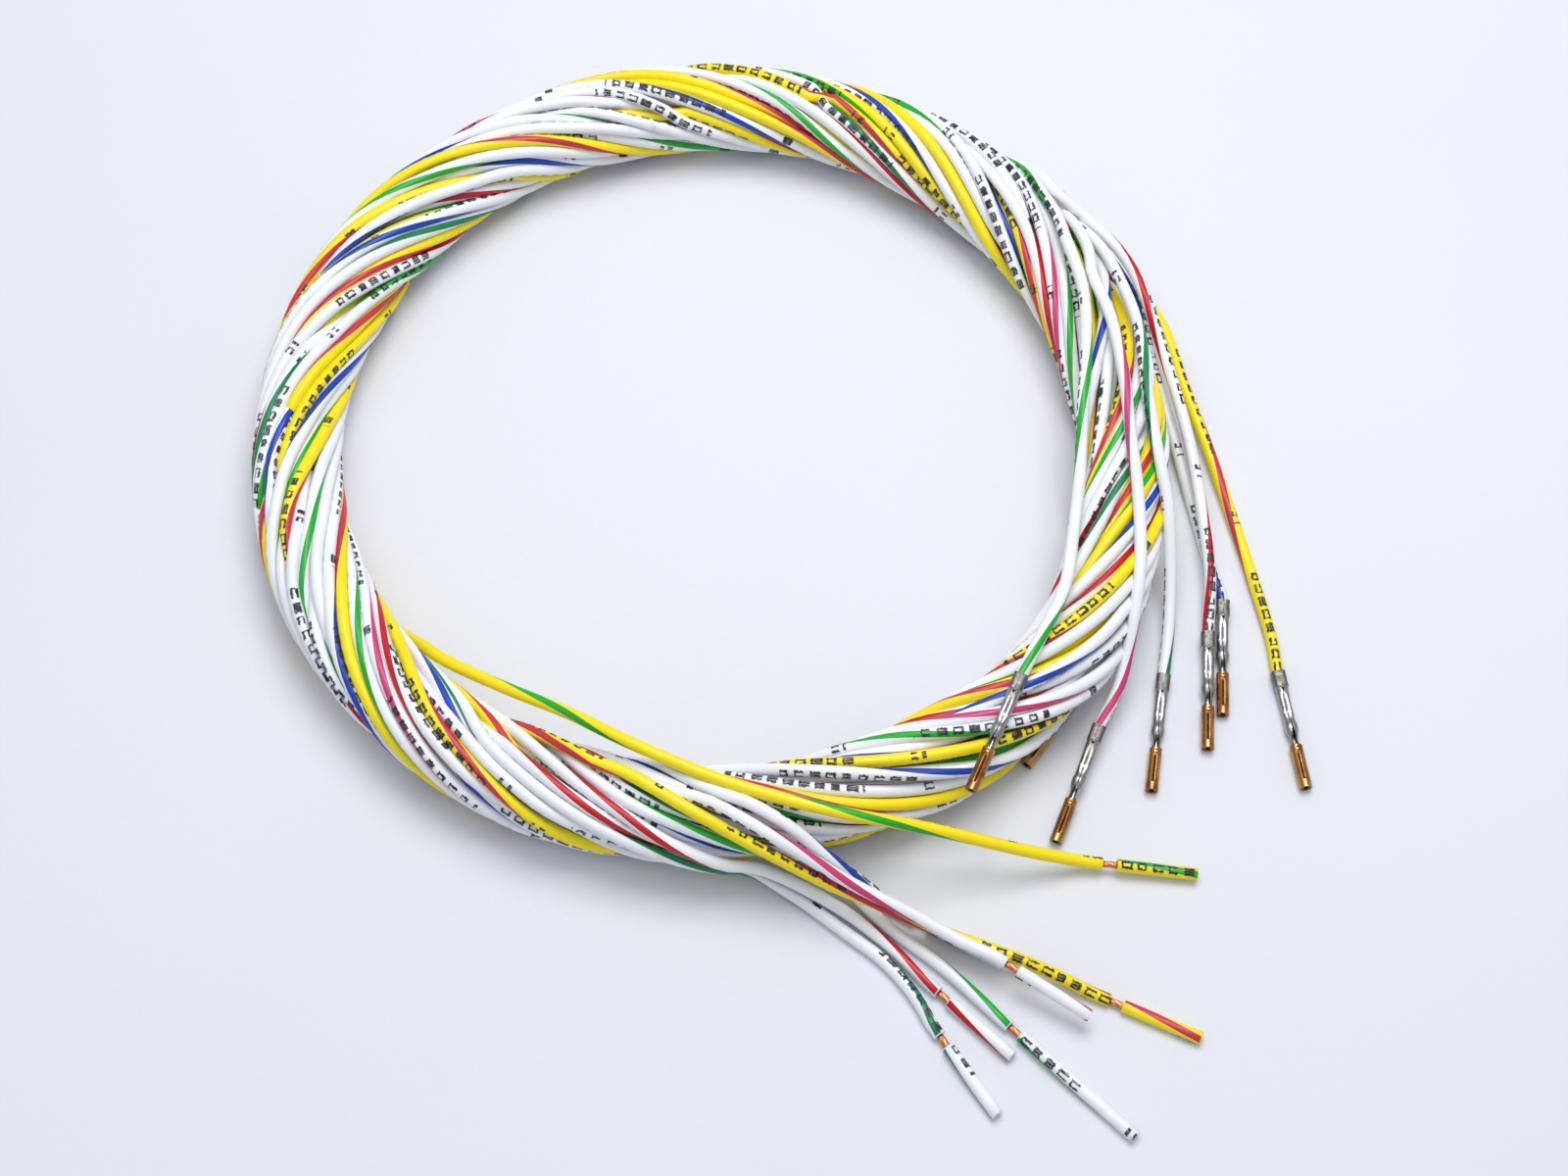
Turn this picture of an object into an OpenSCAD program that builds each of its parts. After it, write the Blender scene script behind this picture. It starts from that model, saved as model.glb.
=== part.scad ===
// A wreath of seven flying leads: each wire is coiled with the others, carries a crimped
// socket contact on one end and is cut and part-stripped on the other.
// The part lies on the plane z = 0, with its origin under the middle of its bounding box.

/* [Wire] */
// Diameter over a wire's insulation
wire_d = 1.9; // [1.6:0.05:1.95]
// Diameter of the stranded copper conductor
conductor_d = 1.0; // [0.8:0.05:1.1]

/* [Coil] */
// Radius of the coil, to the middle of the bundle
coil_r = 64.3; // [60:0.1:66]
// Diameter of the bundle of turns
bundle_d = 14.6; // [12:0.1:15]
// Height that the bundle's round section loses where it rests
bundle_flat = 0.2; // [0.1:0.05:0.6]
// Sideways place of the coil's centre
coil_x = -9.5; // [-12:0.1:-6]
// Lengthwise place of the coil's centre
coil_y = 20; // [16:0.1:24]

/* [Contact] */
// Length of a contact, from the wire's entry to the socket's mouth
contact_l = 19.2; // [18:0.1:22]
// Diameter of the pin that the socket takes
pin_d = 1.0; // [0.9:0.05:1.1]
// Outer diameter of the sleeve around the socket
sleeve_d = 1.95; // [1.9:0.01:2.1]
// Outer diameter of the crimp around the insulation
insulation_crimp_d = 2.3; // [2.2:0.05:2.4]
// Width of the slot along the sleeve
sleeve_slot = 0.6; // [0.3:0.05:0.8]

/* [Cut end] */
// Length of the insulation slug left on a cut end
slug_l = 12; // [8:0.5:14]
// Length of the longest slug
long_slug_l = 21.5; // [18:0.5:23]
// Bare copper between the insulation and the slug
window = 2; // [1:0.1:3]

/* [Hidden] */
wire_r = wire_d / 2;
conductor_r = conductor_d / 2;
bundle_r = bundle_d / 2;
bundle_z = bundle_r - bundle_flat;
// Each wire's turns are taken as one flat layer of the bundle, and thin gaps part the layers
layers = 7;
layer_h = (bundle_z + bundle_r) / layers;
layer_gap = 0.04;
// Stations along a contact, from the wire's entry
insulation_crimp_l = 2.6;
wire_crimp_x = 3.2;
wire_crimp_l = 4.8;
trough_l = 3;
neck_l = 1.3;
socket_l = 7;
socket_x = contact_l - socket_l;
neck_x = socket_x - neck_l;
trough_x = neck_x - trough_l;
// Outer radii of the trough behind the wire crimp and of the neck
trough_r = 0.98;
neck_r = 0.74;
// Sheet thickness of the contact, the wall of its socket and the wall that closes it at the back
sheet = 0.2;
socket_wall = 0.23;
back_wall = 0.3;
beam_slot = 0.3;
beam_slot_x = socket_x + 1.2;
beam_slot_l = 4.6;
// Length of insulation held inside its crimp, of conductor past the wire crimp, and of the straight
// wire before its cut
held_l = insulation_crimp_l + 0.1;
brush_l = 0.4;
straight_l = 2;
// Radial play of the pin in the socket, of a slug on its conductor, of the sleeve on the socket and
// of the wire in its crimp
pin_play = 0.02;
slug_play = 0.02;
sleeve_play = 0.02;
crimp_play = 0.02;
socket_r = pin_d / 2 + pin_play + socket_wall;
// Overlap that joins neighbouring shapes of one piece, and the overrun of a cut past its face
join = 0.2;
past = 1;
tube_sides = 8;
// The wire crimp presses the conductor into an eight-sided bar
crimped_sides = 8;
turn_fn = 160;
round_fn = 48;

jacket_white = [0.93, 0.94, 0.96];
jacket_yellow = [0.96, 0.85, 0.02];
tin = [0.62, 0.62, 0.60];
bronze = [0.75, 0.47, 0.20];
copper = [0.86, 0.45, 0.28];

// Fields of one wire
NAME = 0;
JACKET = 1;
LAYER = 2;
LEAD = 3;
CONTACT = 4;
TAIL = 5;
CUT = 6;
SLUG = 7;
// A contact's pose is its wire entry, heading and downward tilt; a cut's is its face, heading and tilt.
// A lead runs from the coil to its contact and a tail from the coil to its cut, in hand-chosen points.
WIRES = [
    ["white_green", jacket_white, 6,
        [[47, 52.5, 15.6], [49.5, 42, 15.7], [49.5, 31, 15], [48.5, 20.5, 14.1], [47.5, 9, 13.8],
         [46, -1, 14.6], [44, -11.5, 15.5], [40.5, -19, 15.9]],
        [[37, -26, 15.7], -114, 6.5],
        [[7, -51, 7], [10.5, -52.7, 4.5], [13, -55.5, 2.4], [17, -59.2, 1], [25, -65.5, 1]],
        [[34.5, -74.6, 1], -43.5, 0], long_slug_l],
    ["white_pink", jacket_white, 5,
        [[51, 45, 15.6], [53.5, 37, 15.6], [55, 26, 15.6], [55.5, 14.5, 15.6], [56, 5.5, 15.2],
         [56, -4, 13.8], [55.5, -9.5, 12.2], [54, -17.5, 8], [52.5, -23, 5.2]],
        [[49.5, -28.5, 3.4], -112, 7],
        [[-8.5, -46, 15.6], [2.5, -51.5, 13], [11.5, -55.8, 9.3], [21.5, -60, 6.2], [28, -63.5, 5.2]],
        [[34, -66.5, 4.8], -32, 6], slug_l],
    ["white_darkgreen", jacket_white, 4,
        [[54.5, 48.5, 13.4], [58, 36.5, 13.8], [58.5, 24, 15], [59.5, 13.5, 14.4], [61, 5, 11.2],
         [61.5, -5.5, 4.4], [61, -12.5, 2]],
        [[60, -19, 1.2], -99, 0.5],
        [[-3, -51.5, 3.4], [4, -55, 1.5], [11, -60.2, 1], [16.5, -64.5, 1], [20, -68.5, 1],
         [22.5, -72.5, 1]],
        [[24.5, -76, 1], -56, 0], slug_l],
    ["white_red", jacket_white, 3,
        [[46, 62.5, 13.6], [51.5, 59, 10.5], [56.5, 54, 9], [59.5, 48.5, 8], [63.5, 33, 6.5],
         [66, 21, 5], [67.3, 9.5, 3.9], [68, -3, 3.1]],
        [[67.2, -12, 1.8], -94, 2],
        [[-1, -52.5, 6], [9.5, -56.5, 2.2], [16.5, -61.5, 1]],
        [[24.5, -69.5, 1], -43, 0], slug_l],
    ["white_blue", jacket_white, 2,
        [[52, 59, 6], [56.5, 53, 5], [59.5, 46, 4.5], [61.5, 34, 3.8], [64.5, 21, 2],
         [66.8, 9, 1], [68.3, 1, 1]],
        [[69.9, -6.3, 1.2], -94, 0.5],
        [[-3, -46, 15.4], [3, -49, 13.6], [8.5, -52, 9.5], [14, -54.2, 4.2], [17.5, -56.2, 1.6]],
        [[21.5, -58.4, 1], -28.5, 0], slug_l],
    ["yellow_red", jacket_yellow, 1,
        [[52, 58, 3.3], [57.5, 52, 2.6], [63, 45.5, 2.2], [66.5, 32, 2.2], [69.5, 21, 1.8],
         [71.5, 13, 1.3], [75.3, -4, 1], [77, -13, 1.1]],
        [[77.4, -18.5, 1.2], -82, 0.5],
        [[-20.5, -41.5, 15.6], [-11.5, -47, 15.4], [-3, -51, 12.6], [2.5, -53.2, 10.4], [8.5, -55.5, 8],
         [16.5, -57.8, 5], [25, -61, 3.2], [31, -63.4, 3.4], [38, -66, 3]],
        [[49, -70.7, 1], -24, 0], slug_l],
    ["yellow_green", jacket_yellow, 0,
        [[52, 55.5, 1], [59, 38.5, 1], [61.5, 20, 1], [59, 1.5, 1], [54.5, -10, 1]],
        [[49.8, -18.2, 1.2], -126, 0.5],
        [[-49, -19, 7], [-38.5, -25.5, 10], [-29, -31, 13.2], [-20.5, -36.5, 15.6], [-6, -43, 15.7],
         [10.5, -47.5, 15], [22, -48.2, 11.5], [38, -49.5, 5.4]],
        [[49, -50, 1.9], -6, 2.2], slug_l]
];
KINDS = ["coil", "lead", "tail", "conductor", "slug", "contact", "sleeve"];

function unit(v) = v / norm(v);
function heading_of(pose) =
    [cos(pose[1]) * cos(pose[2]), sin(pose[1]) * cos(pose[2]), -sin(pose[2])];
function along(pose, distance) = pose[0] + distance * heading_of(pose);
function lead_route(w) = concat(w[LEAD], [w[CONTACT][0], along(w[CONTACT], held_l)]);
function tail_route(w) = concat(w[TAIL], [along(w[CUT], -straight_l), w[CUT][0]]);

// Direction of a route at one of its points
function direction(route, i) =
    unit(route[min(i + 1, len(route) - 1)] - route[max(i - 1, 0)]);

// Points of the ring around a route at one of its points
function ring(route, i, r) =
    let (forward = direction(route, i), side = unit(cross(forward, [0, 0, 1])), up = cross(side, forward))
    [for (k = [0:tube_sides - 1])
        route[i] + r * (cos(360 * k / tube_sides) * side + sin(360 * k / tube_sides) * up)];

// Round tube swept along a route, with a ring at each point
module tube(route, r) {
    rings = len(route);
    last = (rings - 1) * tube_sides;
    polyhedron(
        points = [for (i = [0:rings - 1]) each ring(route, i, r)],
        faces = concat(
            [[for (k = [0:tube_sides - 1]) k]],
            [[for (k = [tube_sides - 1:-1:0]) last + k]],
            [for (i = [0:rings - 2]) for (k = [0:tube_sides - 1])
                let (here = i * tube_sides, next = (k + 1) % tube_sides)
                [here + k, here + tube_sides + k, here + tube_sides + next]],
            [for (i = [0:rings - 2]) for (k = [0:tube_sides - 1])
                let (here = i * tube_sides, next = (k + 1) % tube_sides)
                [here + k, here + tube_sides + next, here + next]]
        )
    );
}

// Puts a shape drawn along +X at a pose
module at_pose(pose) {
    translate(pose[0]) rotate([0, pose[2], pose[1]]) children();
}

// Bar along +X, round unless it has few sides
module bar(x, l, r, sides = round_fn) {
    translate([x, 0, 0]) rotate([0, 90, 0]) cylinder(r = r, h = l, $fn = sides);
}

// Layer of the bundle that holds one wire's turns
module coil(w) {
    base = w[LAYER] * layer_h;
    color(w[JACKET])
    translate([coil_x, coil_y, 0])
    rotate_extrude($fn = turn_fn)
    intersection() {
        translate([coil_r, bundle_z]) circle(r = bundle_r, $fn = round_fn);
        translate([coil_r - bundle_r - past, base + (w[LAYER] == 0 ? 0 : layer_gap)])
            square([2 * (bundle_r + past), layer_h - (w[LAYER] == 0 ? 0 : layer_gap)]);
    }
}

// Insulated wire from the coil into its contact
module lead(w) {
    color(w[JACKET]) tube(lead_route(w), wire_r);
}

// Insulated wire from the coil to where it is cut
module tail(w) {
    color(w[JACKET]) tube(tail_route(w), wire_r);
}

// The two stretches of conductor outside the insulation: in the crimp, and under the slug
module conductor(w) {
    color(copper) {
        at_pose(w[CONTACT])
            bar(held_l, wire_crimp_x + wire_crimp_l + brush_l - held_l, conductor_r, crimped_sides);
        at_pose(w[CUT]) bar(0, window + w[SLUG], conductor_r);
    }
}

// Loose piece of insulation near the end of the conductor
module slug(w) {
    color(w[JACKET]) at_pose(w[CUT])
    difference() {
        bar(window, w[SLUG], wire_r);
        bar(window - past, w[SLUG] + 2 * past, conductor_r + slug_play);
    }
}

// Ring folded around the insulation, with a seam on top
module insulation_crimp() {
    difference() {
        bar(0, insulation_crimp_l, insulation_crimp_d / 2);
        bar(-past, insulation_crimp_l + 2 * past, wire_r + crimp_play);
        translate([-past, -0.06, 0]) cube([insulation_crimp_l + 2 * past, 0.12, insulation_crimp_d]);
    }
}

// Two wings rolled into the conductor, with a valley between them
module wire_crimp() {
    base_r = 0.84;
    base_z = -0.22;
    lobe_r = 0.5;
    lobe_place = 0.44;
    difference() {
        union() {
            translate([0, 0, base_z]) bar(wire_crimp_x, wire_crimp_l, base_r);
            for (y = [-lobe_place, lobe_place])
                translate([0, y, lobe_place]) bar(wire_crimp_x, wire_crimp_l, lobe_r);
        }
        bar(wire_crimp_x - past, wire_crimp_l + 2 * past, conductor_r, crimped_sides);
    }
}

// Open trough from x over l, tapering from outer radius r1 to r2, and cut off above rim
module trough(x, l, r1, r2, rim) {
    difference() {
        translate([x, 0, 0]) rotate([0, 90, 0]) cylinder(r1 = r1, r2 = r2, h = l, $fn = round_fn);
        translate([x, 0, 0]) rotate([0, 90, 0])
            cylinder(r1 = r1 - sheet, r2 = r2 - sheet, h = l, $fn = round_fn);
        translate([x - past, -r1 - past, rim]) cube([l + 2 * past, 2 * (r1 + past), r1 + past]);
    }
}

// Narrow neck between trough and socket, folded solid and flat on top
module neck() {
    rim = 0.1;
    difference() {
        bar(neck_x - join, neck_l + 2 * join, neck_r);
        translate([neck_x - join - past, -neck_r - past, rim])
            cube([neck_l + 2 * (join + past), 2 * (neck_r + past), neck_r + past]);
    }
}

// Round socket with two slots, closed at the back
module socket() {
    difference() {
        bar(socket_x, socket_l, socket_r);
        bar(socket_x + back_wall, socket_l, pin_d / 2 + pin_play);
        translate([beam_slot_x, -sleeve_d, -beam_slot / 2]) cube([beam_slot_l, 2 * sleeve_d, beam_slot]);
    }
}

// Stamped contact: both crimps, the trough between crimp and socket, the neck and the socket
module contact(w) {
    color(tin) at_pose(w[CONTACT]) {
        insulation_crimp();
        trough(insulation_crimp_l - join, wire_crimp_x - insulation_crimp_l + 2 * join,
            insulation_crimp_d / 2, insulation_crimp_d / 2, -0.75);
        wire_crimp();
        trough(trough_x - join, trough_l + join, trough_r, neck_r, 0.35);
        neck();
        socket();
    }
}

// Sleeve around the socket, with a long slot and a small locating hole behind it
module sleeve(w) {
    start = socket_x + 0.15;
    slot_x = start + 0.8;
    slot_l = 4.9;
    hole_r = 0.16;
    color(bronze) at_pose(w[CONTACT])
    difference() {
        bar(start, contact_l - start, sleeve_d / 2);
        bar(start - past, contact_l, socket_r + sleeve_play);
        translate([slot_x, -sleeve_slot / 2, 0]) cube([slot_l, sleeve_slot, sleeve_d]);
        translate([start + 0.4, 0, 0]) cylinder(r = hole_r, h = sleeve_d, $fn = round_fn);
    }
}

for (w = WIRES) {
    coil(w);
    lead(w);
    tail(w);
    conductor(w);
    slug(w);
    contact(w);
    sleeve(w);
}
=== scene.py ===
"""Seven crimped flying leads, coiled by hand into a twisted wreath. Lengths are in metres."""

import math
import random

import bpy
import numpy as np
from mathutils import Matrix, Vector


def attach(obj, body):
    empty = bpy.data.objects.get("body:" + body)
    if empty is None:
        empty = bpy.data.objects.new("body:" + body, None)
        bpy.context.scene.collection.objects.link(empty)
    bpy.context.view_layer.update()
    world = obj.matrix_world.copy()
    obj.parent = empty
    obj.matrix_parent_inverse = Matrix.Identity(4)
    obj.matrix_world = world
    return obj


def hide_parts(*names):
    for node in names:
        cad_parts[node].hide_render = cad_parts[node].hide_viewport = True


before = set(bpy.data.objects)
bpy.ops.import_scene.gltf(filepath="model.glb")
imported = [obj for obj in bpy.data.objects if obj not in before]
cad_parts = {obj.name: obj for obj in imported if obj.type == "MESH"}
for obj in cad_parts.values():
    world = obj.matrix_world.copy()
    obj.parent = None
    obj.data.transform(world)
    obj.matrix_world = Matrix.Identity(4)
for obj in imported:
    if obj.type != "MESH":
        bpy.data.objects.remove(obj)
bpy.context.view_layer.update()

# ---------------------------------------------------------------- sizes

WIRE_R = 0.00095
CONDUCTOR_R = 0.0005
COIL_CENTRE = np.array([-0.0095, 0.020])
COIL_R = 0.0643
BUNDLE_R = 0.0073
BUNDLE_Z = 0.0071
CONTACT_L = 0.0192
WINDOW = 0.002
SLUG_L = 0.012
LONG_SLUG_L = 0.0215
# Where the wire's own insulation ends inside the crimp around it
HELD_L = 0.0027
STRAIGHT_L = 0.002

# Turns of the bundle about itself in one turn of the coil: a sixth more than a whole number, so
# that the six passes of one wire spread around the bundle
PASSES = 6
TWIST = 4 + 1 / PASSES
SECTIONS = 144
STEP = 2 * math.pi / SECTIONS

WHITE = (0.86, 0.88, 0.92)
YELLOW = (0.94, 0.76, 0.002)
GREEN = (0.010, 0.40, 0.028)
DARK_GREEN = (0.004, 0.22, 0.075)
PINK = (0.60, 0.045, 0.16)
RED = (0.55, 0.004, 0.010)
BLUE = (0.006, 0.050, 0.42)
CRIMSON = (0.58, 0.030, 0.060)

# Each wire: its jacket and stripe, the route from the coil to the contact, the contact's wire entry
# with heading and downward tilt in degrees, the route from the coil to the cut, the cut's place,
# heading and tilt, the length of its slug, and which way the stripe faces at the contact and the cut
WIRES = {
    "white_green": dict(
        jacket=WHITE, stripe=GREEN,
        lead=[(0.047, 0.0525, 0.0156), (0.0495, 0.042, 0.0157), (0.0495, 0.031, 0.015),
              (0.0485, 0.0205, 0.0141), (0.0475, 0.009, 0.0138), (0.046, -0.001, 0.0146),
              (0.044, -0.0115, 0.0155), (0.0405, -0.019, 0.0159)],
        contact=((0.037, -0.026, 0.0157), -114, 6.5),
        tail=[(0.007, -0.051, 0.007), (0.0105, -0.0527, 0.0045), (0.013, -0.0555, 0.0024),
              (0.017, -0.0592, 0.001), (0.025, -0.0655, 0.001)],
        cut=((0.0345, -0.0746, 0.001), -43.5, 0), slug=LONG_SLUG_L,
        contact_facing=30, cut_facing=10, slug_facing=61,
    ),
    "white_pink": dict(
        jacket=WHITE, stripe=PINK,
        lead=[(0.051, 0.045, 0.0156), (0.0535, 0.037, 0.0156), (0.055, 0.026, 0.0156),
              (0.0555, 0.0145, 0.0156), (0.056, 0.0055, 0.0152), (0.056, -0.004, 0.0138),
              (0.0555, -0.0095, 0.0122), (0.054, -0.0175, 0.008), (0.0525, -0.023, 0.0052)],
        contact=((0.0495, -0.0285, 0.0034), -112, 7),
        tail=[(-0.0085, -0.046, 0.0156), (0.0025, -0.0515, 0.013), (0.0115, -0.0558, 0.0093),
              (0.0215, -0.060, 0.0062), (0.028, -0.0635, 0.0052)],
        cut=((0.034, -0.0665, 0.0048), -32, 6), slug=SLUG_L,
        contact_facing=35, cut_facing=-150, slug_facing=-140,
    ),
    "white_darkgreen": dict(
        jacket=WHITE, stripe=DARK_GREEN,
        lead=[(0.0545, 0.0485, 0.0134), (0.058, 0.0365, 0.0138), (0.0585, 0.024, 0.015),
              (0.0595, 0.0135, 0.0144), (0.061, 0.005, 0.0112), (0.0615, -0.0055, 0.0044),
              (0.061, -0.0125, 0.002)],
        contact=((0.060, -0.019, 0.0012), -99, 0.5),
        tail=[(-0.003, -0.0515, 0.0034), (0.004, -0.055, 0.0015), (0.011, -0.0602, 0.001),
              (0.0165, -0.0645, 0.001), (0.020, -0.0685, 0.001), (0.0225, -0.0725, 0.001)],
        cut=((0.0245, -0.076, 0.001), -56, 0), slug=SLUG_L,
        contact_facing=-25, cut_facing=16, slug_facing=75,
    ),
    "white_red": dict(
        jacket=WHITE, stripe=RED,
        lead=[(0.046, 0.0625, 0.0136), (0.0515, 0.059, 0.0105), (0.0565, 0.054, 0.009),
              (0.0595, 0.0485, 0.008), (0.0635, 0.033, 0.0065), (0.066, 0.021, 0.005),
              (0.0673, 0.0095, 0.0039), (0.068, -0.003, 0.0031)],
        contact=((0.0672, -0.012, 0.0018), -94, 2),
        tail=[(-0.001, -0.0525, 0.006), (0.0095, -0.0565, 0.0022), (0.0165, -0.0615, 0.001)],
        cut=((0.0245, -0.0695, 0.001), -43, 0), slug=SLUG_L,
        contact_facing=88, cut_facing=30, slug_facing=30,
    ),
    "white_blue": dict(
        jacket=WHITE, stripe=BLUE,
        lead=[(0.052, 0.059, 0.006), (0.0565, 0.053, 0.005), (0.0595, 0.046, 0.0045),
              (0.0615, 0.034, 0.0038), (0.0645, 0.021, 0.002), (0.0668, 0.009, 0.001),
              (0.0683, 0.001, 0.001)],
        contact=((0.0699, -0.0063, 0.0012), -94, 0.5),
        tail=[(-0.003, -0.046, 0.0154), (0.003, -0.049, 0.0136), (0.0085, -0.052, 0.0095),
              (0.014, -0.0542, 0.0042), (0.0175, -0.0562, 0.0016)],
        cut=((0.0215, -0.0584, 0.001), -28.5, 0), slug=SLUG_L,
        contact_facing=60, cut_facing=92, slug_facing=110,
    ),
    "yellow_red": dict(
        jacket=YELLOW, stripe=CRIMSON,
        lead=[(0.052, 0.058, 0.0033), (0.0575, 0.052, 0.0026), (0.063, 0.0455, 0.0022),
              (0.0665, 0.032, 0.0022), (0.0695, 0.021, 0.0018), (0.0715, 0.013, 0.0013),
              (0.0753, -0.004, 0.001), (0.077, -0.013, 0.0011)],
        contact=((0.0774, -0.0185, 0.0012), -82, 0.5),
        tail=[(-0.0205, -0.0415, 0.0156), (-0.0115, -0.047, 0.0154), (-0.003, -0.051, 0.0126),
              (0.0025, -0.0532, 0.0104), (0.0085, -0.0555, 0.008), (0.0165, -0.0578, 0.005),
              (0.025, -0.061, 0.0032), (0.031, -0.0634, 0.0034), (0.038, -0.066, 0.003)],
        cut=((0.049, -0.0707, 0.001), -24, 0), slug=SLUG_L,
        contact_facing=-120, cut_facing=-55, slug_facing=-50,
    ),
    "yellow_green": dict(
        jacket=YELLOW, stripe=GREEN,
        lead=[(0.052, 0.0555, 0.001), (0.059, 0.0385, 0.001), (0.0615, 0.020, 0.001),
              (0.059, 0.0015, 0.001), (0.0545, -0.010, 0.001)],
        contact=((0.0498, -0.0182, 0.0012), -126, 0.5),
        tail=[(-0.049, -0.019, 0.007), (-0.0385, -0.0255, 0.010), (-0.029, -0.031, 0.0132),
              (-0.0205, -0.0365, 0.0156), (-0.006, -0.043, 0.0157), (0.0105, -0.0475, 0.015),
              (0.022, -0.0482, 0.0115), (0.038, -0.0495, 0.0054)],
        cut=((0.049, -0.050, 0.0019), -6, 2.2), slug=SLUG_L,
        contact_facing=180, cut_facing=-75, slug_facing=-60,
    ),
}
NAMES = list(WIRES)

# ---------------------------------------------------------------- camera

TARGET = Vector((0.0023, -0.0032, 0.0))
CAMERA_ELEVATION = math.radians(62)
CAMERA_DISTANCE = 0.430
LENS = 63.65


def add_camera():
    data = bpy.data.cameras.new("camera")
    data.lens = LENS
    data.sensor_width = 36
    data.clip_start = 0.01
    camera = bpy.data.objects.new("camera", data)
    away = Vector((0, -math.cos(CAMERA_ELEVATION), math.sin(CAMERA_ELEVATION)))
    camera.location = TARGET + CAMERA_DISTANCE * away
    camera.rotation_euler = (-away).to_track_quat("-Z", "Y").to_euler()
    bpy.context.scene.collection.objects.link(camera)
    bpy.context.scene.camera = camera


# ---------------------------------------------------------------- poses and routes


def pose_matrix(pose):
    """Frame of a contact or a cut, with x along it and z out of its top."""
    place, heading, tilt = pose
    turn = Matrix.Rotation(math.radians(heading), 4, "Z") @ Matrix.Rotation(math.radians(tilt), 4, "Y")
    return Matrix.Translation(place) @ turn


def pose_point(pose, distance):
    return tuple(pose_matrix(pose) @ Vector((distance, 0, 0)))


def smooth_curve(points, spacing):
    """Points at an even spacing along a centripetal Catmull-Rom curve through the given points."""
    p = np.array(points, float)
    p = np.vstack([2 * p[0] - p[1], p, 2 * p[-1] - p[-2]])
    knots = np.concatenate([[0], np.cumsum(np.linalg.norm(np.diff(p, axis=0), axis=1) ** 0.5)])
    dense = []
    for i in range(1, len(p) - 2):
        t0, t1, t2, t3 = knots[i - 1:i + 3]
        count = max(2, int(np.linalg.norm(p[i + 1] - p[i]) / spacing * 4))
        t = np.linspace(t1, t2, count, endpoint=False)[:, None]
        a1 = (t1 - t) / (t1 - t0) * p[i - 1] + (t - t0) / (t1 - t0) * p[i]
        a2 = (t2 - t) / (t2 - t1) * p[i] + (t - t1) / (t2 - t1) * p[i + 1]
        a3 = (t3 - t) / (t3 - t2) * p[i + 1] + (t - t2) / (t3 - t2) * p[i + 2]
        b1 = (t2 - t) / (t2 - t0) * a1 + (t - t0) / (t2 - t0) * a2
        b2 = (t3 - t) / (t3 - t1) * a2 + (t - t1) / (t3 - t1) * a3
        dense.append((t2 - t) / (t2 - t1) * b1 + (t - t1) / (t2 - t1) * b2)
    dense = np.vstack(dense + [p[-2][None]])
    along = np.concatenate([[0], np.cumsum(np.linalg.norm(np.diff(dense, axis=0), axis=1))])
    even = np.linspace(0, along[-1], max(2, round(along[-1] / spacing)) + 1)
    return np.stack([np.interp(even, along, dense[:, k]) for k in range(3)], axis=1)


def section_of(points):
    """Angle about the coil, distance out from the bundle's middle and height, for each point."""
    flat = np.asarray(points)[:, :2] - COIL_CENTRE
    angle = np.arctan2(flat[:, 1], flat[:, 0])
    out = np.linalg.norm(flat, axis=1) - COIL_R
    return angle, np.stack([out, np.asarray(points)[:, 2] - BUNDLE_Z], axis=1)


def coil_point(angle, section):
    reach = COIL_R + section[..., 0]
    return np.stack([
        COIL_CENTRE[0] + reach * np.cos(angle),
        COIL_CENTRE[1] + reach * np.sin(angle),
        BUNDLE_Z + section[..., 1],
    ], axis=-1)


def turned(v, angle):
    c, s = np.cos(angle), np.sin(angle)
    return np.stack([c * v[..., 0] - s * v[..., 1], s * v[..., 0] + c * v[..., 1]], axis=-1)


# ---------------------------------------------------------------- the coil

# Strands start in a hexagonal lattice with this step
LATTICE_STEP = 0.00183
# Centre lines stay inside this circle of the bundle's section
STRAND_R = BUNDLE_R - WIRE_R
# Wires are wanted just inside the edge where they enter and leave, at STRAND_R squared over this
ENTRY_R = 0.0064
# Where the bundle sags outward over the contact beside it: how far, and where about the coil
SAG = 0.0024
SAG_ANGLE = -0.62
SAG_SPREAD = 0.38


def lattice():
    """Places of the 42 strands around the middle of the bundle, which stays empty."""
    places = []
    for a in range(-4, 5):
        for b in range(-4, 5):
            place = LATTICE_STEP * np.array([a + b / 2, b * math.sqrt(3) / 2])
            if 0 < np.linalg.norm(place) < 3.5 * LATTICE_STEP:
                places.append(place)
    return np.array(places)


def strand_ends(name):
    """Section indices and places where a wire enters the bundle from its lead and leaves for its tail."""
    wire = WIRES[name]
    (angle_in, angle_out), places = section_of([wire["lead"][0], wire["tail"][0]])
    first = math.ceil(angle_in / STEP)
    last = (PASSES - 1) * SECTIONS + math.floor((angle_out % (2 * math.pi)) / STEP)
    return first, last, places[0], places[1]


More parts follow.
